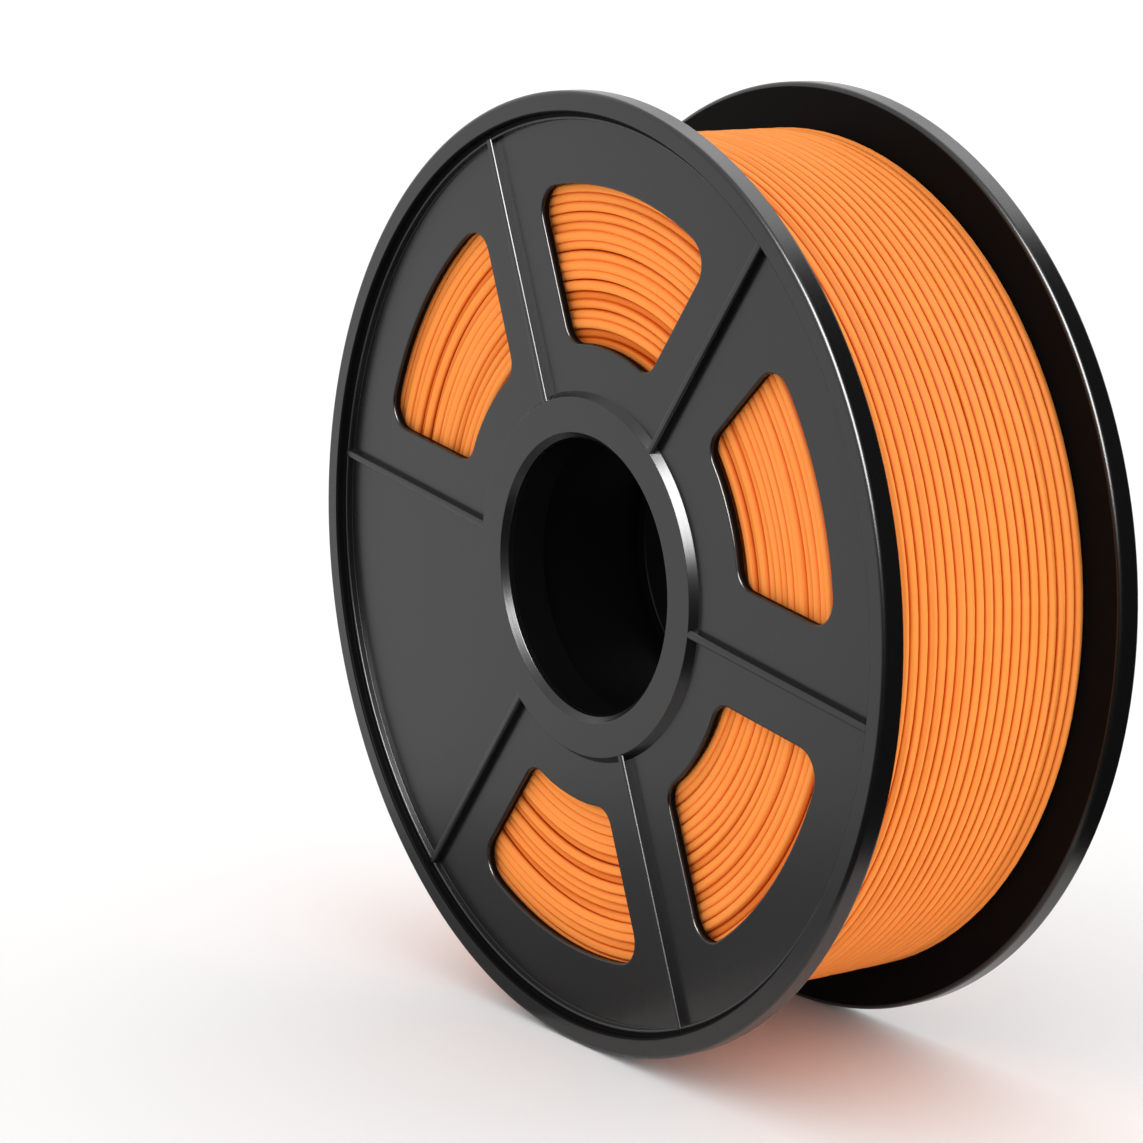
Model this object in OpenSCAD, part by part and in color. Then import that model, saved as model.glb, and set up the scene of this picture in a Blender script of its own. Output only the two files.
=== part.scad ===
/* [Spool] */
// Diameter over the flanges
flange_d = 200; // [190:1:215]
// Width over the two flange rims
spool_w = 64; // [58:1:72]
// Diameter of the bore that turns on a spindle
bore_d = 58; // [54:1:60]

/* [Flange] */
// Width of the flange rim, along the spool axis
rim_w = 5.2; // [4.6:0.1:6.5]
// Radial width of the flat rim face
rim_face = 4.5; // [3.5:0.1:6]
// Radial width of the ledge inside the rim
ledge_face = 1.3; // [0.8:0.1:2]
// Depth of the ledge below the rim face
ledge_depth = 1.8; // [1.4:0.1:2]
// Depth of the panels below the rim face
panel_depth = 3.2; // [2.6:0.1:3.4]
// Rounding of the rim's edges
rim_round = 1.0; // [0.6:0.1:1.4]

/* [Hub] */
// Outer diameter of the raised hub ring
hub_ring_d = 75; // [74:0.5:80]
// Depth of the hub ring and rib tops below the rim face
hub_depth = 1.5; // [1:0.1:1.8]
// Run-out of the hub ring's sloping wall
hub_slope = 1.2; // [0.6:0.1:1.4]
// Chamfer of the bore's lip
lip_chamfer = 1.3; // [0.8:0.1:1.6]
// Wall of the collars that run into the barrel
collar_wall = 2.7; // [2:0.1:3]
// Reach of the front collar, from the rim face
front_collar_reach = 12; // [9:0.5:14]
// Reach of the rear collar, from the rim face
rear_collar_reach = 25.5; // [20:0.5:28]

/* [Ribs and windows] */
// Number of radial ribs
rib_count = 6; // [6:1:6]
// Thickness of a rib
rib_t = 1.7; // [1.2:0.1:2.4]
// Angle of the first rib above the horizontal
rib_start = 51.4; // [0:0.1:59]
// Radius of the windows' inner edge
window_inner_r = 48.5; // [45:0.5:50]
// Radius of the windows' outer edge
window_outer_r = 81; // [76:0.5:84]
// Distance from a rib's middle to the window's straight side
window_side = 11.2; // [9:0.1:14]
// Rounding of the windows' corners
window_round = 5.5; // [3:0.1:7]
// The sector that stays solid, counted from the first rib
solid_sector = 2; // [0:1:5]
// The sector with the smaller window, counted from the first rib
small_sector = 5; // [0:1:5]
// Radius of the smaller window's inner edge
small_inner_r = 52; // [48:0.5:54]
// Distance from a rib's middle to the smaller window's straight side
small_side = 13.8; // [11:0.1:16]
// Turn of the smaller window's upper side away from its rib
small_turn = 10; // [0:1:14]

/* [Barrel and winding] */
// Outer diameter of the drum
drum_d = 83.6; // [82:0.2:88]
// Wall of the drum and of its inner sleeve
barrel_wall = 2.0; // [1.6:0.1:2.6]
// Diameter over the wound filament
winding_d = 181; // [120:1:184]
// Rounding of the winding's outer corners
winding_round = 1.2; // [0.8:0.1:1.6]

/* [Hidden] */
$fn = 96;
eps = 0.01;
// Clearance between pieces that fit into each other
slip = 0.3;
flange_r = flange_d / 2;
bore_r = bore_d / 2;
hub_ring_r = hub_ring_d / 2;
rim_inner_r = flange_r - rim_face;
ledge_inner_r = rim_inner_r - ledge_face;
collar_r = bore_r + collar_wall;
// Free width between the flanges, and the height of the ring that centres the drum on each flange
gap_w = spool_w - 2 * rim_w;
register_h = 4;
drum_r = drum_d / 2;
drum_inner_r = drum_r - barrel_wall;
sleeve_r = collar_r + slip;
winding_r = winding_d / 2;
winding_inner_r = drum_r + slip;
rib_pitch = 360 / rib_count;
flange_black = "#3f3f3f";
filament_orange = "#ff8c40";

// A ring's cross-section from radius r0 to r1 and from depth d0 to d1
module band(r0, r1, d0, d1) {
    translate([r0, d0]) square([r1 - r0, d1 - d0]);
}

// A cross-section whose two corners at the outer radius are rounded
module rounded_band(r0, r1, d0, d1, round) {
    band(r0, r1 - round, d0, d1);
    band(r0, r1, d0 + round, d1 - round);
    for (d = [d0 + round, d1 - round])
        translate([r1 - round, d]) circle(round);
}

// The hub ring's cross-section: a chamfered lip at the bore and a sloping outer wall
module hub_section() {
    polygon([
        [bore_r, rim_w],
        [bore_r, hub_depth + lip_chamfer],
        [bore_r + lip_chamfer, hub_depth],
        [hub_ring_r, hub_depth],
        [hub_ring_r + hub_slope, panel_depth],
        [hub_ring_r + hub_slope, rim_w]
    ]);
}

// The flange's cross-section: depth counts from the rim's outer face
module flange_section(collar_reach) {
    rounded_band(rim_inner_r, flange_r, 0, rim_w, rim_round);
    band(ledge_inner_r, rim_inner_r + eps, ledge_depth, rim_w);
    band(hub_ring_r, ledge_inner_r + eps, panel_depth, rim_w);
    band(drum_inner_r - slip - barrel_wall, drum_inner_r - slip, rim_w - eps, rim_w + register_h);
    band(bore_r, collar_r, rim_w - eps, collar_reach);
    hub_section();
}

// The half of the sector beyond a line that lies at a distance from a rib along X and turns away from it
module beyond(side, turn) {
    pivot = (window_inner_r + window_outer_r) / 2;
    translate([pivot, side]) rotate(turn) translate([-2 * flange_r, 0]) square([4 * flange_r, 2 * flange_r]);
}

// One window's outline, with its sector's middle along X
module window_outline(inner_r, side, turn) {
    offset(r = window_round) offset(delta = -window_round) difference() {
        intersection() {
            circle(window_outer_r);
            rotate(-rib_pitch / 2) beyond(side, 0);
            rotate(rib_pitch / 2) mirror([0, 1]) beyond(side, turn);
            translate([0, -flange_r]) square([flange_r, 2 * flange_r]);
        }
        circle(inner_r);
    }
}

// Windows through the panels, all but the solid sector
module windows() {
    for (i = [0 : rib_count - 1])
        if (i != solid_sector)
            rotate(rib_start + (i + 0.5) * rib_pitch)
                translate([0, 0, panel_depth - 1])
                    linear_extrude(rim_w - panel_depth + 2)
                        if (i == small_sector) window_outline(small_inner_r, small_side, small_turn);
                        else window_outline(window_inner_r, window_side, 0);
}

// Straight ribs from the hub ring to the rim's inner wall
module ribs() {
    for (i = [0 : rib_count - 1])
        rotate(rib_start + i * rib_pitch)
            translate([hub_ring_r - 1, -rib_t / 2, hub_depth])
                cube([rim_inner_r - hub_ring_r + 1.5, rib_t, rim_w - hub_depth - eps]);
}

// A flange with its outer face down at height 0
module flange(collar_reach) {
    difference() {
        rotate_extrude() flange_section(collar_reach);
        windows();
    }
    ribs();
}

// Turns the build axis to the spool axis, with the outer face looking along -Y
module to_front() {
    translate([0, -spool_w / 2, 0]) rotate([-90, 0, 0]) mirror([0, 1, 0]) children();
}

module front_flange() {
    color(flange_black) to_front() flange(front_collar_reach);
}

module rear_flange() {
    color(flange_black) rotate([0, 0, 180]) to_front() flange(rear_collar_reach);
}

// The drum, its inner sleeve and the webs between them
module core_barrel() {
    web_h = gap_w - 2 * (register_h + slip);
    color(flange_black) rotate([90, 0, 0]) {
        translate([0, 0, -gap_w / 2]) rotate_extrude() {
            band(drum_inner_r, drum_r, 0, gap_w);
            band(sleeve_r, sleeve_r + barrel_wall, 0, gap_w);
        }
        for (i = [0 : rib_count - 1])
            rotate(i * rib_pitch)
                translate([sleeve_r + barrel_wall / 2, -barrel_wall / 2, -web_h / 2])
                    cube([drum_inner_r - sleeve_r, barrel_wall, web_h]);
    }
}

// The wound filament as one ring between the flanges
module filament_winding() {
    color(filament_orange) rotate([90, 0, 0]) translate([0, 0, -gap_w / 2])
        rotate_extrude()
            rounded_band(winding_inner_r, winding_r, slip, gap_w - slip, winding_round);
}

front_flange();
rear_flange();
core_barrel();
filament_winding();
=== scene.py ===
"""A one-kilogram filament spool: two moulded flanges on a core barrel, wound with orange filament.

The spool's axis is Y and its front flange looks along -Y. Pieces are shaped in millimetres and
brought to metres when they are finished, in the frame of the CAD model.
"""

import logging
import math
import random
from dataclasses import dataclass, field
from enum import Enum
from typing import Any, Callable, Iterable, Sequence

import bpy
from mathutils import Matrix, Vector


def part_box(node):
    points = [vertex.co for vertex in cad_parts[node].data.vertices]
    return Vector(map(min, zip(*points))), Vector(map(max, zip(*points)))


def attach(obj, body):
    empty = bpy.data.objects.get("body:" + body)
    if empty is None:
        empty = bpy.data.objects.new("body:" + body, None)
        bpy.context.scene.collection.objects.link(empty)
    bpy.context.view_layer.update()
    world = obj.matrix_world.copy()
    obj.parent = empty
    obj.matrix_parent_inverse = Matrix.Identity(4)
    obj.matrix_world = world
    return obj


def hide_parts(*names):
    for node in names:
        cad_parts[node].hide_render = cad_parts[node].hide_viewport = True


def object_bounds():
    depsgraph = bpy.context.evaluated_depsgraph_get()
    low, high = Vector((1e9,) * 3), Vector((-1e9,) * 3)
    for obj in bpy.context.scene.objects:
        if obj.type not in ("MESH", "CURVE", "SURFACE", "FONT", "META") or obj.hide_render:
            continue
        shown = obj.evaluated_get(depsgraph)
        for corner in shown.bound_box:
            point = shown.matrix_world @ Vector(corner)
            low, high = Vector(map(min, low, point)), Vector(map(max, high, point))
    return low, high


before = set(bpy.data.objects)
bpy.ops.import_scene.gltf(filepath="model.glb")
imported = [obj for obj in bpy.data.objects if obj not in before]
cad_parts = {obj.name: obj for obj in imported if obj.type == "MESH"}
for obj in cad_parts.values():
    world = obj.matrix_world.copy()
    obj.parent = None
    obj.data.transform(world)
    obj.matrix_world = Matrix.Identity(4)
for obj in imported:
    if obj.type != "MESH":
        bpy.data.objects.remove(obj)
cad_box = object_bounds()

LOG = logging.getLogger("filament_spool")
MM = 0.001
# Vertices closer than this, in millimetres, are one vertex.
MERGE = 0.001
# How far, in millimetres, a vertex may be off the place it is selected by.
NEAR = 0.01
# A Mix node's inputs for two numbers, its inputs for two colours, and its output for a colour.
NUMBER_A, NUMBER_B = 2, 3
COLOUR_A, COLOUR_B, COLOUR_OUT = 6, 7, 2
Corner = tuple[float, float, float]
Point = tuple[float, float]


class Side(Enum):
    """The two ends of the spool, each with the sign of its outward direction along Y."""

    FRONT = -1
    REAR = 1


class Slot(Enum):
    """The record's material slots."""

    SPOOL = "spool_black"
    BARREL = "barrel_black"
    FILAMENT = "filament_orange"


class Operation(Enum):
    """What a tool does to a body."""

    CUT = "DIFFERENCE"
    ADD = "UNION"


# --------------------------------------------------------------------------- modelling helpers


def start_clean() -> None:
    """Leaves edit mode and deselects every object."""
    if bpy.context.object and bpy.context.object.mode != "OBJECT":
        bpy.ops.object.mode_set(mode="OBJECT")
    bpy.ops.object.select_all(action="DESELECT")


def take(piece: bpy.types.Object) -> None:
    """Makes one piece the selected and active object.

    Args:
        piece: The object that the next operators act on.
    """
    start_clean()
    piece.select_set(True)
    bpy.context.view_layer.objects.active = piece


def select_at(piece: bpy.types.Object, wanted: Callable[[Vector], bool]) -> None:
    """Selects the vertices at some places, with the edges and faces between them.

    Args:
        piece: The piece, in edit mode.
        wanted: Says whether a vertex at a place is selected.
    """
    bpy.ops.mesh.select_all(action="DESELECT")
    bpy.ops.object.mode_set(mode="OBJECT")
    for vertex in piece.data.vertices:
        vertex.select = wanted(vertex.co)
    bpy.ops.object.mode_set(mode="EDIT")
    bpy.ops.mesh.select_mode(type="VERT")


def rounded_outline(corners: Sequence[Corner], segments: int = 4) -> list[Point]:
    """Turns corners into a closed outline whose corners are arcs.

    Args:
        corners: First coordinate, second coordinate and rounding radius of each corner.
        segments: Straight pieces in each arc.

    Returns:
        The outline's points, in order.
    """
    points: list[Point] = []
    count = len(corners)
    for i, (x, y, radius) in enumerate(corners):
        here = Vector((x, y))
        if radius <= 0:
            points.append((x, y))
            continue
        before = (Vector(corners[i - 1][:2]) - here).normalized()
        after = (Vector(corners[(i + 1) % count][:2]) - here).normalized()
        half = before.angle(after) / 2
        reach = radius / math.tan(half)
        centre = here + (before + after).normalized() * (radius / math.sin(half))
        start = here + before * reach - centre
        sweep = start.angle_signed(here + after * reach - centre)
        for k in range(segments + 1):
            turn = -sweep * k / segments
            c, s = math.cos(turn), math.sin(turn)
            points.append((centre.x + c * start.x - s * start.y, centre.y + s * start.x + c * start.y))
    return points


def draw_wire(name: str, points: Sequence[Vector], close: bool = True) -> bpy.types.Object:
    """Draws a wire point by point, starting from a plane merged to one vertex.

    Args:
        name: The new object's name.
        points: The wire's points.
        close: Whether the last point is joined to the first.

    Returns:
        The wire, still in edit mode with all of it selected.
    """
    start_clean()
    bpy.ops.mesh.primitive_plane_add(size=1, location=(0, 0, 0))
    wire = bpy.context.object
    wire.name = wire.data.name = name
    bpy.ops.object.mode_set(mode="EDIT")
    bpy.ops.mesh.select_all(action="SELECT")
    bpy.ops.mesh.merge(type="CENTER")
    bpy.ops.transform.translate(value=points[0])
    for here, there in zip(points, points[1:]):
        bpy.ops.mesh.extrude_region_move(TRANSFORM_OT_translate={"value": there - here})
    bpy.ops.mesh.select_all(action="SELECT")
    if close:
        bpy.ops.object.mode_set(mode="OBJECT")
        last = len(wire.data.vertices) - 1
        for vertex in wire.data.vertices:
            vertex.select = vertex.index in (0, last)
        for edge in wire.data.edges:
            edge.select = False
        bpy.ops.object.mode_set(mode="EDIT")
        bpy.ops.mesh.edge_face_add()
        bpy.ops.mesh.select_all(action="SELECT")
    return wire


def lathe(name: str, outline: Sequence[Point], steps: int) -> bpy.types.Object:
    """Spins a closed outline once round the spool's axis.

    Args:
        name: The new object's name.
        outline: Radius and place along Y of each point.
        steps: Steps in the full turn.

    Returns:
        The closed body, in object mode.
    """
    body = draw_wire(name, [Vector((radius, y, 0)) for radius, y in outline])
    bpy.ops.mesh.spin(steps=steps, angle=math.tau, center=(0, 0, 0), axis=(0, 1, 0))
    bpy.ops.mesh.select_all(action="SELECT")
    bpy.ops.mesh.remove_doubles(threshold=MERGE)
    bpy.ops.mesh.normals_make_consistent(inside=False)
    bpy.ops.object.mode_set(mode="OBJECT")
    return body


def join(parts: Sequence[bpy.types.Object], name: str) -> bpy.types.Object:
    """Joins several meshes into one object.

    Args:
        parts: The objects to join.
        name: The joined object's name.

    Returns:
        The joined object.
    """
    take(parts[0])
    for part in parts[1:]:
        part.select_set(True)
    bpy.ops.object.join()
    parts[0].name = parts[0].data.name = name
    return parts[0]


def combine(body: bpy.types.Object, tool: bpy.types.Object, operation: Operation) -> None:
    """Applies a boolean with a tool, and deletes the tool.

    Args:
        body: The mesh that is changed.
        tool: The mesh that cuts it or is added to it.
        operation: Whether the tool cuts or is added.
    """
    take(body)
    boolean = body.modifiers.new("combine", "BOOLEAN")
    boolean.operation = operation.value
    boolean.solver = "EXACT"
    boolean.object = tool
    bpy.ops.object.modifier_apply(modifier=boolean.name)
    bpy.data.objects.remove(tool)


def turned_copies(part: bpy.types.Object, angles: Iterable[float], name: str) -> bpy.types.Object:
    """Copies a part round the spool's axis, each copy with its own mesh, and joins the copies.

    Args:
        part: The part at angle 0, which is used up.
        angles: The copies' angles in degrees, counted from +X towards +Z.
        name: The joined object's name.

    Returns:
        The joined copies.
    """
    copies = []
    for angle in angles:
        copy = part.copy()
        copy.data = part.data.copy()
        copy.data.transform(Matrix.Rotation(math.radians(-angle), 4, "Y"))
        bpy.context.collection.objects.link(copy)
        copies.append(copy)
    bpy.data.objects.remove(part)
    return join(copies, name)


def smooth_and_settle(piece: bpy.types.Object, angle: float = 32.0) -> None:
    """Shades a piece smooth up to an angle, keeps its flats flat, and brings it to metres.

    Args:
        piece: A piece in millimetres.
        angle: The steepest angle, in degrees, that is shaded smooth.
    """
    flat_angle = 0.1
    take(piece)
    bpy.ops.object.mode_set(mode="EDIT")
    bpy.ops.mesh.select_all(action="SELECT")
    bpy.ops.mesh.remove_doubles(threshold=MERGE)
    bpy.ops.mesh.dissolve_degenerate(threshold=MERGE)
    bpy.ops.mesh.dissolve_limited(angle_limit=math.radians(flat_angle), delimit={"NORMAL"})
    bpy.ops.object.mode_set(mode="OBJECT")
    bpy.ops.object.shade_smooth_by_angle(angle=math.radians(angle), keep_sharp_edges=False)
    # The largest faces decide the normals, so that flats stay flat beside their fillets.
    weighted = piece.modifiers.new("flats", "WEIGHTED_NORMAL")
    weighted.keep_sharp = True
    weighted.weight = 100
    bpy.ops.object.modifier_apply(modifier=weighted.name)
    piece.scale = (MM, MM, MM)
    bpy.ops.object.transform_apply(location=True, rotation=True, scale=True)


def place(piece: bpy.types.Object, slot: Slot, finish: bpy.types.Material, *nodes: str) -> None:
    """Gives a finished piece its material and its body, and hides the CAD nodes it stands for.

    Args:
        piece: The finished piece.
        slot: The record's material slot. Not used.
        finish: The piece's material.
        nodes: CAD nodes that the piece replaces.
    """
    piece.data.materials.clear()
    piece.data.materials.append(finish)
    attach(piece, "root")
    if nodes:
        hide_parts(*nodes)


def report(piece: bpy.types.Object) -> None:
    """Logs a finished piece's name, how many triangles it has, and its finish."""
    triangles = sum(len(face.vertices) - 2 for face in piece.data.polygons)
    LOG.info("%s: %d triangles, finish %s", piece.name, triangles, piece.data.materials[0].name)


# --------------------------------------------------------------------------- finishes


def linear(hex_colour: str) -> tuple[float, float, float, float]:
    """Turns an sRGB hex colour to linear RGBA."""
    channels = [int(hex_colour[i : i + 2], 16) / 255 for i in (1, 3, 5)]
    straight = [c / 12.92 if c <= 0.04045 else ((c + 0.055) / 1.055) ** 2.4 for c in channels]
    return (*straight, 1.0)


def add_node(
    tree: bpy.types.NodeTree, kind: str, inputs: dict[Any, Any] | None = None, **settings: Any
) -> bpy.types.Node:
    """Adds a node with its settings and links.

    Args:
        tree: The node tree.
        kind: The node's type name.
        inputs: Values or sockets by input name or number; a socket is linked.
        settings: Attributes that are set on the node.

    Returns:
        The new node.
    """
    made = tree.nodes.new(kind)
    for name, value in settings.items():
        setattr(made, name, value)
    for key, value in (inputs or {}).items():
        if isinstance(value, bpy.types.NodeSocket):
            tree.links.new(value, made.inputs[key])
        else:
            made.inputs[key].default_value = value
    return made


def reach_and_depth(tree: bpy.types.NodeTree, place_on: Any) -> tuple[Any, Any]:
    """Adds the nodes that measure a point's distance from the axis and from the spool's middle plane.

    Args:
        tree: The node tree.
        place_on: The socket with the point's place on the object.

    Returns:
        The two distances' sockets, in metres.
    """
    parts = add_node(tree, "ShaderNodeSeparateXYZ", {"Vector": place_on}).outputs
    across = add_node(tree, "ShaderNodeCombineXYZ", {"X": parts["X"], "Z": parts["Z"]}).outputs[0]
    radius = add_node(tree, "ShaderNodeVectorMath", {0: across}, operation="LENGTH").outputs["Value"]
    depth = add_node(tree, "ShaderNodeMath", {0: parts["Y"]}, operation="ABSOLUTE").outputs[0]
    return radius, depth


def past_either(tree: bpy.types.NodeTree, limits: Sequence[tuple[Any, float, float]]) -> Any:
    """Adds a soft mask that is 1 where at least one of two lengths is past its limit, and 0 elsewhere.

    Args:
        tree: The node tree.
        limits: Each length's socket, and the lengths in millimetres at which its mask is 0 and 1.

    Returns:
        The mask's socket.
    """
    masks = []
    for length, none_mm, full_mm in limits:
        mask = add_node(tree, "ShaderNodeMapRange", {
            "Value": length,
            "From Min": none_mm * MM,
            "From Max": full_mm * MM,
        }, interpolation_type="SMOOTHSTEP")
        masks.append(mask.outputs[0])
    return add_node(tree, "ShaderNodeMath", dict(enumerate(masks)), operation="MAXIMUM").outputs[0]


def new_material(name: str) -> tuple[bpy.types.Material, bpy.types.NodeTree]:
    """Makes an empty node material.

    Args:
        name: The material's name.

    Returns:
        The material and its node tree.
    """
    material = bpy.data.materials.new(name)
    material.use_nodes = True
    material.node_tree.nodes.clear()
    return material, material.node_tree


@dataclass(frozen=True)
class MouldedPlastic:
    """Injection-moulded black ABS: deep black in the body, with a satin skin off a fine-ground mould.

    The skin carries a faint grain and, where the mould was turned, very faint rings about the axis.
    From the panels inwards the mould is textured: those faces are matt and stay black beside the orange.
    The step inside the rim is textured too, and draws a black line round the face.

    Sizes are in millimetres. The skin is satin beyond matt_half_w from the middle plane or beyond
    matt_r from the axis, apart from the step between the two radii of matt_step.
    """

    name: str
    colour: str = "#0c0c0c"
    ior: float = 1.54
    roughness: float = 0.27
    roughness_swing: float = 0.03
    gloss_level: float = 0.4
    matt_roughness: float = 0.45
    matt_gloss_level: float = 0.02
    matt_half_w: float = 28.0
    matt_r: float = 98.9
    matt_step: tuple[float, float] = (94.45, 95.85)
    blend: float = 0.25
    textured_all_over: bool = False
    # Real grain and turning marks are closer together than this. They are drawn coarser, so that they show.
    grain: float = 0.35
    grain_height: float = 0.0012
    ring: float = 0.6
    ring_height: float = 0.0008
    # Patches of slightly more and less gloss, per metre.
    clouds: float = 22.0

    def satin_mask(self, tree: bpy.types.NodeTree, radius: Any, depth: Any) -> Any:
        """Adds the mask that is 1 on the satin skin and 0 on the textured faces.

        Args:
            tree: The node tree.
            radius: The distance from the axis.
            depth: The distance from the middle plane.

        Returns:
            The mask's socket.
        """
        start, end = self.matt_step
        outside = past_either(tree, [
            (depth, self.matt_half_w, self.matt_half_w + self.blend),
            (radius, self.matt_r, self.matt_r + self.blend),
        ])
        off_step = past_either(tree, [(radius, start + self.blend, start), (radius, end, end + self.blend)])
        return add_node(tree, "ShaderNodeMath", {0: outside, 1: off_step}, operation="MULTIPLY").outputs[0]

    def relief(self, tree: bpy.types.NodeTree, place_on: Any, radius: Any) -> Any:
        """Adds the grain and the rings about the axis.

        Args:
            tree: The node tree.
            place_on: The place on the object.
            radius: The distance from the axis.

        Returns:
            The surface direction's socket.
        """
        waves = math.tau / (self.ring * MM)
        phase = add_node(tree, "ShaderNodeMath", {0: radius, 1: waves}, operation="MULTIPLY").outputs[0]
        rings = add_node(tree, "ShaderNodeMath", {0: phase}, operation="SINE").outputs[0]
        ring_bump = add_node(tree, "ShaderNodeBump", {"Height": rings, "Distance": self.ring_height * MM})
        grain = add_node(tree, "ShaderNodeTexNoise", {
            "Vector": place_on,
            "Scale": 1 / (self.grain * MM),
            "Detail": 2.0,
        })
        return add_node(tree, "ShaderNodeBump", {
            "Height": grain.outputs["Fac"],
            "Distance": self.grain_height * MM,
            "Normal": ring_bump.outputs[0],
        }).outputs[0]

    def skin(self, tree: bpy.types.NodeTree, place_on: Any, radius: Any, depth: Any) -> tuple[Any, Any]:
        """Adds the roughness and the gloss that tell the satin skin from the textured faces.

        Args:
            tree: The node tree.
            place_on: The place on the object.
            radius: The distance from the axis.
            depth: The distance from the middle plane.

        Returns:
            The roughness's socket and the gloss's.
        """
        satin = self.satin_mask(tree, radius, depth)
        cloud = add_node(tree, "ShaderNodeTexNoise", {
            "Vector": place_on,
            "Scale": self.clouds,
            "Detail": 3.0,
        })
        satin_roughness = add_node(tree, "ShaderNodeMapRange", {
            "Value": cloud.outputs["Fac"],
            "To Min": self.roughness - self.roughness_swing,
            "To Max": self.roughness + self.roughness_swing,
        })
        roughness = add_node(tree, "ShaderNodeMix", {
            "Factor": satin,
            NUMBER_A: self.matt_roughness,
            NUMBER_B: satin_roughness.outputs[0],
        })
        gloss = add_node(tree, "ShaderNodeMapRange", {
            "Value": satin,
            "To Min": self.matt_gloss_level,
            "To Max": self.gloss_level,
        })
        return roughness.outputs[0], gloss.outputs[0]

    def build(self) -> bpy.types.Material:
        """Returns the material."""
        material, tree = new_material(self.name)
        place_on = add_node(tree, "ShaderNodeTexCoord").outputs["Object"]
        radius, depth = reach_and_depth(tree, place_on)
        roughness, gloss = self.matt_roughness, self.matt_gloss_level
        if not self.textured_all_over:
            roughness, gloss = self.skin(tree, place_on, radius, depth)
        shader = add_node(tree, "ShaderNodeBsdfPrincipled", {
            "Base Color": linear(self.colour),
            "IOR": self.ior,
            "Specular IOR Level": gloss,
            "Roughness": roughness,
            "Normal": self.relief(tree, place_on, radius),
        })
        add_node(tree, "ShaderNodeOutputMaterial", {"Surface": shader.outputs[0]})
        return material


@dataclass(frozen=True)
class ExtrudedFilament:
    """Extruded orange PLA: an opaque, saturated body with a soft sheen, a little paler and darker by turns.

    Between the strands the colour is painted a deeper orange. This is a painted shade in the grooves,
    standing in for the shade there and the light that bounces from orange to orange.

    Sizes are in millimetres. Each painted groove shade gives how far below the strands' crowns its colour
    is full, and
    how far below them it ends: the outer one below crown_r, the side one below crown_y.
    """

    name: str
    crown_r: float
    crown_y: float
    colour: str = "#ff9c4b"
    patch_colour: str = "#ff9442"
    # A painted shade: the darker colour that the grooves between the strands are painted.
    groove_shade_colour: str = "#cf5500"
    ior: float = 1.46
    roughness: float = 0.55
    sheen_level: float = 0.05
    patch: float = 14.0
    outer_groove_shade: tuple[float, float] = (0.85, 0.3)
    side_groove_shade: tuple[float, float] = (1.65, 0.5)

    def build(self) -> bpy.types.Material:
        """Returns the material."""
        material, tree = new_material(self.name)
        place_on = add_node(tree, "ShaderNodeTexCoord").outputs["Object"]
        radius, depth = reach_and_depth(tree, place_on)
        crown = past_either(tree, [
            (radius, *(self.crown_r - drop for drop in self.outer_groove_shade)),
            (depth, *(self.crown_y - drop for drop in self.side_groove_shade)),
        ])
        patches = add_node(tree, "ShaderNodeTexNoise", {
            "Vector": place_on,
            "Scale": 1 / (self.patch * MM),
            "Detail": 2.0,
        })
        body = add_node(tree, "ShaderNodeMix", {
            "Factor": patches.outputs["Fac"],
            COLOUR_A: linear(self.colour),
            COLOUR_B: linear(self.patch_colour),
        }, data_type="RGBA")
        # Painted shade: below the strands' crowns the colour turns to the darker groove colour.
        groove_shaded = add_node(tree, "ShaderNodeMix", {
            "Factor": crown,
            COLOUR_A: linear(self.groove_shade_colour),
            COLOUR_B: body.outputs[COLOUR_OUT],
        }, data_type="RGBA")
        shader = add_node(tree, "ShaderNodeBsdfPrincipled", {
            "Base Color": groove_shaded.outputs[COLOUR_OUT],
            "IOR": self.ior,
            "Roughness": self.roughness,
            "Specular IOR Level": self.sheen_level,
        })
        add_node(tree, "ShaderNodeOutputMaterial", {"Surface": shader.outputs[0]})
        return material


@dataclass(frozen=True)
class PlainMatt:
    """Matt white paper for the studio floor, or matt dark paint for a card that reflections see."""

    name: str
    colour: str

    def build(self) -> bpy.types.Material:
        """Returns the material."""
        material, tree = new_material(self.name)
        shader = add_node(tree, "ShaderNodeBsdfDiffuse", {"Color": linear(self.colour)})
        add_node(tree, "ShaderNodeOutputMaterial", {"Surface": shader.outputs[0]})
        return material


# --------------------------------------------------------------------------- the spool


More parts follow.
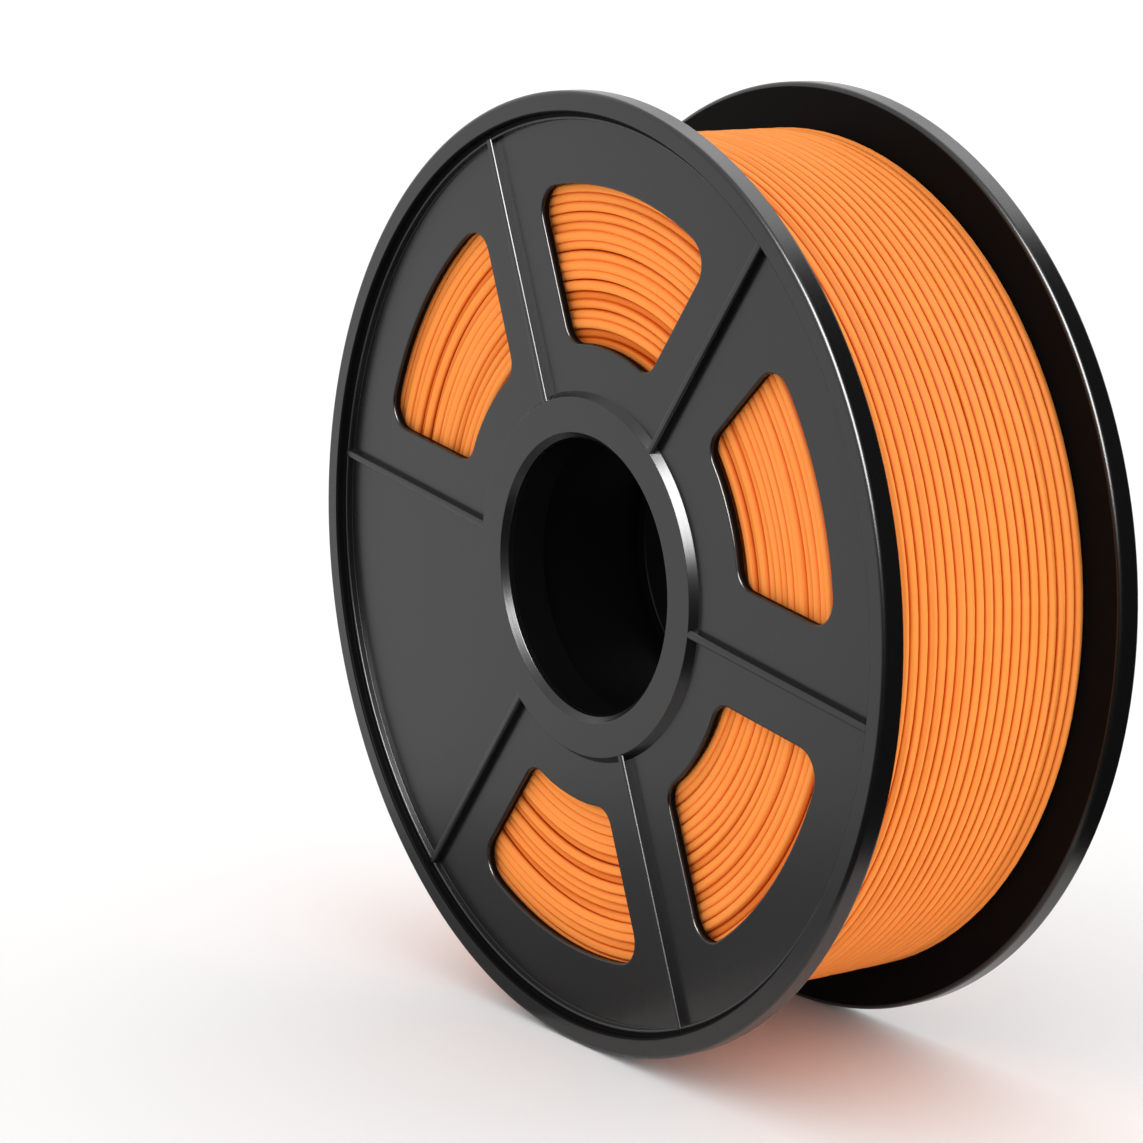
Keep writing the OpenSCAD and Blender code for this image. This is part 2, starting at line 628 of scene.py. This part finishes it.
@dataclass(frozen=True)
class WindowShape:
    """One window's shape: two arcs about the axis and two straight sides along the ribs beside it.

    Sizes are in millimetres; the sides' distance counts from the ribs' middles, and the side above
    the sector's middle turns away from its rib by an angle in degrees, about a point at pivot_r.
    """

    outer_r: float
    inner_r: float
    side: float
    turn: float
    corner_round: float = 5.5
    inner_round: float = 4.675
    pivot_r: float = 64.75
    half_sector: float = 30.0

    def corner(self, radius: float, upper: bool) -> Vector:
        """Returns where a straight side meets a circle.

        Args:
            radius: The circle's radius.
            upper: Whether the side is the one above the sector's middle.
        """
        way = 1 if upper else -1
        rib = math.radians(way * self.half_sector)
        along = Vector((math.cos(rib), math.sin(rib)))
        inwards = Vector((math.sin(rib), -math.cos(rib))) * way
        pivot = along * self.pivot_r + inwards * self.side
        turn = math.radians(self.turn if upper else 0.0)
        line = along * math.cos(turn) + inwards * math.sin(turn)
        half = pivot.dot(line)
        reach = math.sqrt(half * half - pivot.dot(pivot) + radius * radius) - half
        return pivot + line * reach

    def arc(self, radius: float, clear: float, count: int) -> list[Corner]:
        """Returns points on a circle from the upper side down to the lower, clear of the roundings.

        Args:
            radius: The circle's radius.
            clear: How far the points stay from the corners.
            count: How many parts the arc between the corners is cut into.
        """
        high, low = self.corner(radius, True), self.corner(radius, False)
        start, end = math.atan2(high.y, high.x), math.atan2(low.y, low.x)
        turns = [start + (end - start) * k / count for k in range(1, count)]
        points = [Vector((radius * math.cos(t), radius * math.sin(t))) for t in turns]
        kept = [p for p in points if (p - high).length > clear and (p - low).length > clear]
        return [(p.x, p.y, 0.0) for p in kept]

    def outline(self) -> list[Point]:
        """Returns the outline about the angle 0, as X and Z."""
        outer_clear, inner_clear = 1.3 * self.corner_round, 0.75 * self.corner_round
        corners = [
            (*self.corner(self.outer_r, True), self.corner_round),
            *self.arc(self.outer_r, outer_clear, 14),
            (*self.corner(self.outer_r, False), self.corner_round),
            (*self.corner(self.inner_r, False), self.inner_round),
            *self.arc(self.inner_r, inner_clear, 8)[::-1],
            (*self.corner(self.inner_r, True), self.inner_round),
        ]
        return rounded_outline(corners, segments=7)


@dataclass
class Flange:
    """A moulded flange: rim, ledge, panels with windows, ribs, hub ring, bore and collar.

    Sizes are in millimetres. Depths count from the rim's outer face towards the winding.
    """

    side: Side
    flange_r: float
    outer_y: float
    collar_reach: float
    bore_r: float = 29.0
    lip: float = 1.3
    hub_depth: float = 1.5
    hub_top_r: float = 37.5
    hub_foot_r: float = 38.7
    panel_depth: float = 3.2
    ledge_inner_r: float = 94.2
    ledge_depth: float = 1.8
    rim_inner_r: float = 95.5
    rim_w: float = 5.2
    rim_round: float = 1.0
    register_r: float = 39.5
    register_w: float = 2.0
    register_h: float = 4.0
    collar_wall: float = 2.7
    rib_t: float = 1.7
    rib_round: float = 0.55
    rib_into_hub: float = 1.5
    rib_into_rim: float = 1.2
    rib_angles: tuple[float, ...] = (51.4, 111.4, 171.4, 231.4, 291.4, 351.4)
    window_angles: tuple[float, ...] = (81.4, 141.4, 261.4, 321.4)
    small_window_angle: float = 21.4
    window: WindowShape = WindowShape(outer_r=81.0, inner_r=48.5, side=11.2, turn=0.0)
    small_window: WindowShape = WindowShape(outer_r=81.0, inner_r=52.0, side=13.8, turn=10.0)
    front_lip: float = 0.45
    back_lip: float = 0.4
    cut_spare: float = 1.0
    steps: int = 192

    def along(self, depth: float) -> float:
        """Returns the place along Y, for a front flange, of a depth below the rim's outer face."""
        return self.outer_y + depth

    def section(self) -> list[Point]:
        """Returns the flange's cross-section, as radius and place along Y."""
        fillet, fine = 0.3, 0.2
        bore_edge, hub_foot, ledge_foot, ledge_edge, rim_edge, collar_edge = 0.4, 0.15, 0.12, 0.35, 0.6, 0.5
        ledge_draft, rim_draft = 0.2, 0.1
        collar_r = self.bore_r + self.collar_wall
        register_inner = self.register_r - self.register_w
        register_end = self.rim_w + self.register_h
        corners = [
            (self.bore_r, self.hub_depth + self.lip, bore_edge),
            (self.bore_r + self.lip, self.hub_depth, fine),
            (self.hub_top_r, self.hub_depth, fine),
            (self.hub_foot_r, self.panel_depth, hub_foot),
            (self.ledge_inner_r - ledge_draft, self.panel_depth, ledge_foot),
            (self.ledge_inner_r, self.ledge_depth, ledge_edge),
            (self.rim_inner_r - rim_draft, self.ledge_depth, fine),
            (self.rim_inner_r + rim_draft, 0, rim_edge),
            (self.flange_r, 0, self.rim_round),
            (self.flange_r, self.rim_w, self.rim_round),
            (self.register_r, self.rim_w, fillet),
            (self.register_r, register_end, fillet),
            (register_inner, register_end, fillet),
            (register_inner, self.rim_w, fillet),
            (collar_r, self.rim_w, fillet),
            (collar_r, self.collar_reach, fillet),
            (self.bore_r, self.collar_reach, collar_edge),
        ]
        return [(radius, self.along(depth)) for radius, depth in rounded_outline(corners)]

    def window_cutter(self, shape: WindowShape) -> bpy.types.Object:
        """Returns a closed tool that cuts one window with a soft lip at both faces, at angle 0."""
        start = self.along(self.panel_depth + self.front_lip)
        end = self.along(self.rim_w - self.back_lip)
        cutter = draw_wire("window_cutter", [Vector((x, start, z)) for x, z in shape.outline()])
        bpy.ops.mesh.extrude_region_move(TRANSFORM_OT_translate={"value": (0, end - start, 0)})
        self.flare(cutter, self.back_lip, end, 1, 3)
        self.flare(cutter, self.front_lip, start, -1, 4)
        for place_y in (start - self.front_lip - self.cut_spare, end + self.back_lip + self.cut_spare):
            select_at(cutter, lambda v, y=place_y: abs(v.y - y) < NEAR)
            bpy.ops.mesh.edge_face_add()
        bpy.ops.mesh.select_all(action="SELECT")
        bpy.ops.mesh.normals_make_consistent(inside=False)
        bpy.ops.object.mode_set(mode="OBJECT")
        return cutter

    def flare(self, cutter: bpy.types.Object, lip: float, from_y: float, way: int, count: int) -> None:
        """Draws one end of the cutter out along Y in a quarter round, then straight on.

        Args:
            cutter: The open tube, in edit mode.
            lip: The quarter round's radius.
            from_y: Where the quarter round starts.
            way: The sign of the direction along Y.
            count: Steps in the quarter round.
        """
        bpy.ops.mesh.select_all(action="SELECT")
        bpy.ops.mesh.normals_make_consistent(inside=False)
        here = from_y
        for k in range(1, count + 1):
            turn, before = math.radians(90 * k / count), math.radians(90 * (k - 1) / count)
            rise = lip * (math.sin(turn) - math.sin(before))
            spread = lip * (math.cos(before) - math.cos(turn))
            select_at(cutter, lambda v, y=here: abs(v.y - y) < NEAR)
            bpy.ops.mesh.extrude_region_move(TRANSFORM_OT_translate={"value": (0, way * rise, 0)})
            bpy.ops.transform.shrink_fatten(value=spread, use_even_offset=True)
            here += way * rise
        select_at(cutter, lambda v: abs(v.y - here) < NEAR)
        bpy.ops.mesh.extrude_region_move(TRANSFORM_OT_translate={"value": (0, way * self.cut_spare, 0)})

    def rib(self) -> bpy.types.Object:
        """Returns one rib along +X, with round top edges, reaching into the hub ring and the rim."""
        start, end = self.hub_top_r - self.rib_into_hub, self.rim_inner_r + self.rib_into_rim
        # A little under the hub ring's top and inside the panel, so that no two faces coincide.
        below_hub, above_back = 0.02, 0.8
        top, foot = self.along(self.hub_depth + below_hub), self.along(self.rim_w - above_back)
        start_clean()
        bpy.ops.mesh.primitive_cube_add(size=1, location=((start + end) / 2, (top + foot) / 2, 0))
        bar = bpy.context.object
        bar.scale = (end - start, foot - top, self.rib_t)
        bpy.ops.object.transform_apply(location=True, rotation=True, scale=True)
        bpy.ops.object.mode_set(mode="EDIT")
        select_at(bar, lambda v: abs(v.y - top) < NEAR)
        bpy.ops.object.mode_set(mode="OBJECT")
        for edge in bar.data.edges:
            ends = [bar.data.vertices[i].co for i in edge.vertices]
            runs_along = abs(ends[0].x - ends[1].x) > self.rib_t
            edge.select = runs_along and all(abs(v.y - top) < NEAR for v in ends)
        for polygon in bar.data.polygons:
            polygon.select = False
        bpy.ops.object.mode_set(mode="EDIT")
        bpy.ops.mesh.select_mode(type="EDGE")
        bpy.ops.mesh.bevel(offset=self.rib_round, segments=4)
        bpy.ops.mesh.select_mode(type="VERT")
        bpy.ops.object.mode_set(mode="OBJECT")
        return bar

    def build(self, finish: bpy.types.Material) -> bpy.types.Object:
        """Models the flange, turns it to its side and dresses it.

        Args:
            finish: The flange's material.

        Returns:
            The finished flange.
        """
        label = self.side.name.lower()
        flange = lathe(f"moulded_{label}_flange", self.section(), self.steps)
        cutters = turned_copies(self.window_cutter(self.window), self.window_angles, "windows")
        small = self.window_cutter(self.small_window)
        small_cutter = turned_copies(small, [self.small_window_angle], "small_window")
        combine(flange, join([cutters, small_cutter], "windows"), Operation.CUT)
        combine(flange, turned_copies(self.rib(), self.rib_angles, "ribs"), Operation.ADD)
        if self.side is Side.REAR:
            flange.data.transform(Matrix.Rotation(math.pi, 4, "Z"))
        smooth_and_settle(flange)
        place(flange, Slot.SPOOL, finish, f"{label}_flange")
        return flange


@dataclass
class CoreBarrel:
    """The core between the flanges: a drum under the winding, a sleeve about the bore, and webs.

    Sizes are in millimetres.
    """

    half_w: float
    drum_r: float
    wall: float = 2.0
    sleeve_r: float = 32.0
    edge: float = 0.3
    web_count: int = 6
    web_clear: float = 4.3
    steps: int = 160

    def tube(self, name: str, inner_r: float) -> bpy.types.Object:
        """Returns one tube of the barrel's full width, with softened ends."""
        w = self.half_w
        corners = [
            (inner_r, -w, self.edge),
            (inner_r + self.wall, -w, self.edge),
            (inner_r + self.wall, w, self.edge),
            (inner_r, w, self.edge),
        ]
        return lathe(name, rounded_outline(corners, segments=3), self.steps)

    def web(self) -> bpy.types.Object:
        """Returns one web along +X, from inside the sleeve's wall to inside the drum's."""
        start, end = self.sleeve_r + self.wall / 2, self.drum_r - self.wall / 2
        start_clean()
        bpy.ops.mesh.primitive_cube_add(size=1, location=((start + end) / 2, 0, 0))
        web = bpy.context.object
        web.scale = (end - start, 2 * (self.half_w - self.web_clear), self.wall)
        bpy.ops.object.transform_apply(location=True, rotation=True, scale=True)
        bpy.ops.object.mode_set(mode="EDIT")
        bpy.ops.mesh.select_all(action="SELECT")
        bpy.ops.mesh.bevel(offset=self.edge, segments=2)
        bpy.ops.object.mode_set(mode="OBJECT")
        return web

    def build(self, finish: bpy.types.Material) -> bpy.types.Object:
        """Models the barrel and dresses it.

        Args:
            finish: The barrel's material.

        Returns:
            The finished barrel.
        """
        barrel = self.tube("moulded_core_barrel", self.drum_r - self.wall)
        combine(barrel, self.tube("sleeve", self.sleeve_r), Operation.ADD)
        angles = [i * 360 / self.web_count for i in range(self.web_count)]
        combine(barrel, turned_copies(self.web(), angles, "webs"), Operation.ADD)
        smooth_and_settle(barrel)
        place(barrel, Slot.BARREL, finish, "core_barrel")
        return barrel


@dataclass
class Winding:
    """The wound filament: a helix of outer turns, the end turns of each layer at both sides, and the rest.

    Sizes are in millimetres. strand_share is the strand's thickness as a share of the turns' pitch, jog
    the share of a turn in which it steps over to the next, and dive the share of a turn in which its
    ends go under. Each of the sway_waves has a size, waves in a turn, a drift along Y and a phase.
    """

    outer_r: float
    inner_r: float
    half_w: float
    turns: int = 23
    helix_steps: int = 110
    ring_steps: int = 120
    strand_sides: int = 10
    seed: int = 7
    strand_share: float = 0.96
    jog: float = 0.08
    dive: float = 0.035
    crown_clear: float = 0.03
    sway_waves: tuple[tuple[float, float, float, float], ...] = (
        (0.05, 5, 0.11, 0.0),
        (0.025, 13, -0.23, 1.0),
    )
    layers: int = field(init=False)
    turn_pitch: float = field(init=False)
    strand_r: float = field(init=False)
    layer_pitch: float = field(init=False)

    def __post_init__(self) -> None:
        """Works out the strand's radius and the pitch of layers that lie in each other's grooves."""
        self.turn_pitch = 2 * self.half_w / self.turns
        self.strand_r = self.turn_pitch * self.strand_share / 2
        self.layer_pitch = self.turn_pitch * math.cos(math.radians(30))
        self.layers = int((self.outer_r - self.inner_r) / self.layer_pitch)

    def sway(self, turn: float, y: float) -> float:
        """Returns how far a turn wanders along Y, in millimetres, at an angle in radians."""
        return sum(
            size * math.sin(count * turn + drift * y + phase)
            for size, count, drift, phase in self.sway_waves
        )

    def outer_turns(self) -> bpy.types.Object:
        """Returns the outer layer: one strand whose turns lie side by side and step over at one place."""
        start_clean()
        place_r = self.outer_r - self.strand_r - self.crown_clear
        bpy.ops.mesh.primitive_circle_add(
            vertices=self.strand_sides,
            radius=self.strand_r,
            location=(-place_r, -self.half_w + self.strand_r, 0),
        )
        strand = bpy.context.object
        strand.name = strand.data.name = "filament_outer_turns"
        bpy.ops.object.transform_apply(location=True, rotation=True, scale=True)
        pitch = (2 * self.half_w - 2 * self.strand_r) / (self.turns - 1)
        screw = strand.modifiers.new("helix", "SCREW")
        screw.axis = "Y"
        screw.iterations = self.turns
        screw.steps = screw.render_steps = self.helix_steps
        screw.screw_offset = pitch
        bpy.ops.object.modifier_apply(modifier=screw.name)
        first = strand.data.vertices[0].co.y
        way = 1 if strand.data.vertices[self.strand_sides].co.y > first else -1
        for vertex in strand.data.vertices:
            self.lay_vertex(vertex, vertex.index // self.strand_sides / self.helix_steps, way * pitch)
        bpy.ops.object.mode_set(mode="EDIT")
        bpy.ops.mesh.select_all(action="SELECT")
        bpy.ops.mesh.normals_make_consistent(inside=False)
        bpy.ops.mesh.select_all(action="DESELECT")
        bpy.ops.mesh.select_non_manifold()
        bpy.ops.mesh.edge_face_add()
        bpy.ops.object.mode_set(mode="OBJECT")
        return strand

    def lay_vertex(self, vertex: bpy.types.MeshVertex, wound: float, pitch: float) -> None:
        """Moves one vertex of the helix so that its turn lies flat beside the last one.

        Args:
            vertex: The vertex.
            wound: How many turns have been wound up to it.
            pitch: How far one turn of the helix goes along Y.
        """
        # The turns sag a little into the layer below in slow waves, and the two ends go right under.
        sag, dive_depth = 0.03, 2.2 * self.strand_r
        x, y, z = vertex.co
        part = wound - min(int(wound), self.turns - 1)
        over = 0.0
        if wound < self.turns - 1:
            step = min(1.0, max(0.0, (part - 1 + self.jog) / self.jog))
            over = step * step * (3 - 2 * step)
        turn = math.atan2(z, x)
        end = min(wound, self.turns - wound) / self.dive
        sink = sag * (1 + math.sin(3 * turn + 0.9 * y)) + dive_depth * max(0.0, 1 - end) ** 2
        shrink = 1 - sink / math.hypot(x, z)
        along = y + pitch * (over - part) + self.sway(turn, y) * self.inner_share(y)
        vertex.co = (x * shrink, along, z * shrink)

    def inner_share(self, y: float) -> float:
        """Returns how freely a turn wanders: not at all at the flanges, and fully some turns inside."""
        fade_radii, held_share = 4, 0.25
        return max(0.0, min(1.0, (self.half_w - abs(y)) / (fade_radii * self.strand_r) - held_share))

    def side_turns(self, side: Side) -> bpy.types.Object:
        """Returns the end turns of every layer at one flange, some pressed against it and some set back.

        Args:
            side: The flange that the turns lie against.
        """
        dice = random.Random(self.seed + side.value)
        below_crown = self.strand_r * 1.1
        rings = []
        for layer in range(self.layers):
            ring_r = self.outer_r - below_crown - (layer + 0.5) * self.layer_pitch
            start_clean()
            bpy.ops.mesh.primitive_torus_add(
                major_radius=ring_r,
                minor_radius=self.strand_r,
                major_segments=self.ring_steps,
                minor_segments=self.strand_sides,
                rotation=(math.pi / 2, 0, 0),
            )
            ring = bpy.context.object
            bpy.ops.object.transform_apply(location=True, rotation=True, scale=True)
            self.lay_ring(ring, side, layer, dice)
            rings.append(ring)
        return join(rings, f"filament_{side.name.lower()}_side_turns")

    def lay_ring(self, ring: bpy.types.Object, side: Side, layer: int, dice: random.Random) -> None:
        """Sets one end turn beside its flange, with the wander a real layer has.

        Args:
            ring: The turn, centred on the spool.
            side: The flange it lies against.
            layer: The layer's number from outside.
            dice: The source of the layer's own wander.
        """
        # Every other layer leans the other way. Depths are in millimetres, phases in radians.
        ripple, wobble = 0.1, 0.06
        way = 1 if layer % 2 else -1
        depth, phase, slow = dice.uniform(0.2, 0.6), dice.uniform(0, 2.4), dice.uniform(0, math.tau)
        lean = dice.uniform(-0.2, 0.2)
        base = self.half_w - self.strand_r
        for vertex in ring.data.vertices:
            x, y, z = vertex.co
            turn = math.atan2(z, x)
            recess = depth * (1 + way * math.sin(turn + phase)) + ripple * (1 + math.sin(3 * turn + slow))
            outwards = lean * math.sin(2 * turn + slow) + wobble * math.sin(7 * turn + phase)
            swell = 1 + outwards / math.hypot(x, z)
            vertex.co = (x * swell, side.value * (base - recess) + y, z * swell)

    def packed_layers(self) -> bpy.types.Object:
        """Returns the layers that no gap shows: a closed ring just under the outer and the end turns."""
        under_crowns, under_ends, foot = 1.3 * self.strand_r, 2.2 * self.strand_r, 0.2
        r0, r1, w = self.inner_r, self.outer_r - under_crowns, self.half_w - under_ends
        corners = [(r0, -w, foot), (r1, -w, self.strand_r), (r1, w, self.strand_r), (r0, w, foot)]
        return lathe("filament_packed_layers", rounded_outline(corners, segments=4), self.ring_steps)

    def build(self, finish: bpy.types.Material) -> list[bpy.types.Object]:
        """Models the winding's pieces and dresses them.

        Args:
            finish: The filament's material.

        Returns:
            The finished pieces.
        """
        pieces = [
            self.outer_turns(),
            self.side_turns(Side.FRONT),
            self.side_turns(Side.REAR),
            self.packed_layers(),
        ]
        for piece in pieces:
            smooth_and_settle(piece, angle=60)
            place(piece, Slot.FILAMENT, finish, "filament_winding")
        return pieces


# --------------------------------------------------------------------------- the studio


@dataclass(frozen=True)
class Softbox:
    """A soft light at a direction and distance from the spool's middle, in metres.

    It may be seen by gloss alone, for crisp highlights, or by matt surfaces alone.
    """

    name: str
    direction: tuple[float, float, float]
    distance: float
    size: tuple[float, float]
    radiance: float
    seen_by_gloss: bool = True
    seen_by_matt: bool = True

    def build(self) -> None:
        """Adds the light, turned to the spool's middle."""
        light = bpy.data.lights.new(self.name, "AREA")
        light.shape = "RECTANGLE"
        light.size, light.size_y = self.size
        light.energy = self.radiance * math.pi * self.size[0] * self.size[1]
        lamp = bpy.data.objects.new(self.name, light)
        bpy.context.collection.objects.link(lamp)
        away = Vector(self.direction).normalized()
        lamp.location = away * self.distance
        lamp.rotation_euler = away.to_track_quat("Z", "Y").to_euler()
        lamp.visible_camera = False
        lamp.visible_glossy = self.seen_by_gloss
        lamp.visible_diffuse = self.seen_by_matt


@dataclass(frozen=True)
class Card:
    """A matt card, bent round the spool, that only reflections see and that keeps edges dark.

    Angles are in degrees, counted from +X towards +Y, and distances in metres. A standing card rises
    from the floor to its top; one without a top lies on the floor, from its near edge to its reach.
    """

    name: str
    start: float
    end: float
    reach: float
    top: float | None = None
    near: float = 0.0
    colour: str = "#050505"

    def build(self, floor_z: float) -> None:
        """Adds the card, standing or lying on the floor.

        Args:
            floor_z: The floor's height.
        """
        count, off_floor = 16, 0.0005
        height = floor_z + (off_floor if self.top is None else 0)
        sweep = self.end - self.start
        angles = [math.radians(self.start + sweep * k / count) for k in range(count + 1)]
        route = [Vector((self.reach * math.cos(a), self.reach * math.sin(a), height)) for a in angles]
        card = draw_wire(self.name, route, close=False)
        rise = 0 if self.top is None else self.top - floor_z
        bpy.ops.mesh.extrude_region_move(TRANSFORM_OT_translate={"value": (0, 0, rise)})
        if self.top is None:
            share = self.near / self.reach
            bpy.ops.transform.resize(value=(share, share, 1), center_override=(0, 0, 0))
        bpy.ops.object.mode_set(mode="OBJECT")
        card.data.materials.append(PlainMatt(f"matt_paint_{self.name}", self.colour).build())
        card.visible_camera = card.visible_diffuse = card.visible_shadow = False


@dataclass
class Studio:
    """A pale floor, an even pale surround, soft lights, and dark cards beside the spool, in metres."""

    floor_z: float
    floor_reach: float = 12.0
    surround: float = 1.15
    softboxes: tuple[Softbox, ...] = (
        Softbox("key_softbox", (0.50, -0.60, 0.62), 1.0, (0.5, 0.85), radiance=34.0, seen_by_matt=False),
        Softbox("top_softbox", (-0.25, 0.45, 0.85), 1.1, (1.0, 0.7), radiance=1.5, seen_by_matt=False),
        Softbox("low_fill", (0.95, 0.10, 0.06), 1.1, (1.2, 0.3), radiance=1.3, seen_by_gloss=False),
    )
    cards: tuple[Card, ...] = (
        Card("front_right_card", start=-80, end=-14, reach=0.5, top=0.11),
        Card("right_card", start=-16, end=80, reach=0.46, top=0.75),
        Card("right_floor_card", start=-90, end=80, reach=0.5, near=0.12),
        Card("left_floor_card", start=170, end=262, reach=0.2, near=0.04, colour="#a4a4a4"),
    )

    def build(self) -> None:
        """Builds the floor, the surround, the lights and the cards."""
        world = bpy.data.worlds.new("pale_surround")
        world.use_nodes = True
        background = world.node_tree.nodes["Background"]
        background.inputs["Color"].default_value = (1, 1, 1, 1)
        background.inputs["Strength"].default_value = self.surround
        bpy.context.scene.world = world
        start_clean()
        bpy.ops.mesh.primitive_circle_add(
            vertices=64, radius=self.floor_reach, fill_type="NGON", location=(0, 0, self.floor_z)
        )
        floor = bpy.context.object
        floor.name = "studio_floor"
        floor.data.materials.append(PlainMatt("matt_white_paper", "#f7f7f7").build())
        for softbox in self.softboxes:
            softbox.build()
        for card in self.cards:
            card.build(self.floor_z)


@dataclass(frozen=True)
class ViewPoint:
    """The camera's place: angles in degrees, and in metres its distance and its aim off the middle."""

    azimuth: float = 55.45
    elevation: float = 10.81
    distance: float = 0.75909
    aim_right: float = -0.02708
    aim_up: float = -0.00188
    lens: float = 113.16

    def build(self) -> None:
        """Adds the camera and makes it the scene's."""
        a, e = math.radians(self.azimuth), math.radians(self.elevation)
        back = Vector((math.sin(a) * math.cos(e), -math.cos(a) * math.cos(e), math.sin(e)))
        right = Vector((math.cos(a), math.sin(a), 0))
        up = back.cross(right)
        data = bpy.data.cameras.new("view")
        data.sensor_width = 36
        data.lens = self.lens
        camera = bpy.data.objects.new("view", data)
        bpy.context.collection.objects.link(camera)
        turn = Matrix((right, up, back)).transposed().to_4x4()
        where = back * self.distance + right * self.aim_right + up * self.aim_up
        camera.matrix_world = Matrix.Translation(where) @ turn
        bpy.context.scene.camera = camera


def main() -> None:
    """Builds the spool piece by piece, then its studio and camera."""
    logging.basicConfig(level=logging.INFO, format="%(message)s")
    low, high = (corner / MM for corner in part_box("front_flange"))
    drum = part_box("core_barrel")[1] / MM
    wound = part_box("filament_winding")[1] / MM
    collar_reaches = {Side.FRONT: 12.0, Side.REAR: 25.5}
    drum_clear = 0.3

    black = MouldedPlastic("moulded_black_abs").build()
    # The core's black is painted a shade darker than the flanges'. This is a painted shade for the dim
    # inside of the bore.
    core_shade_black = MouldedPlastic("moulded_black_abs_core", colour="#0a0a0a", textured_all_over=True).build()
    orange = ExtrudedFilament("extruded_orange_pla", crown_r=wound.z, crown_y=wound.y).build()

    ViewPoint().build()
    for side, reach in collar_reaches.items():
        report(Flange(side, flange_r=high.z, outer_y=low.y, collar_reach=reach).build(black))
    report(CoreBarrel(half_w=drum.y, drum_r=drum.z).build(core_shade_black))
    for piece in Winding(outer_r=wound.z, inner_r=drum.z + drum_clear, half_w=wound.y).build(orange):
        report(piece)
    Studio(floor_z=cad_box[0].z).build()
    bpy.context.scene.view_settings.view_transform = "Standard"


if __name__ == "__main__":
    main()
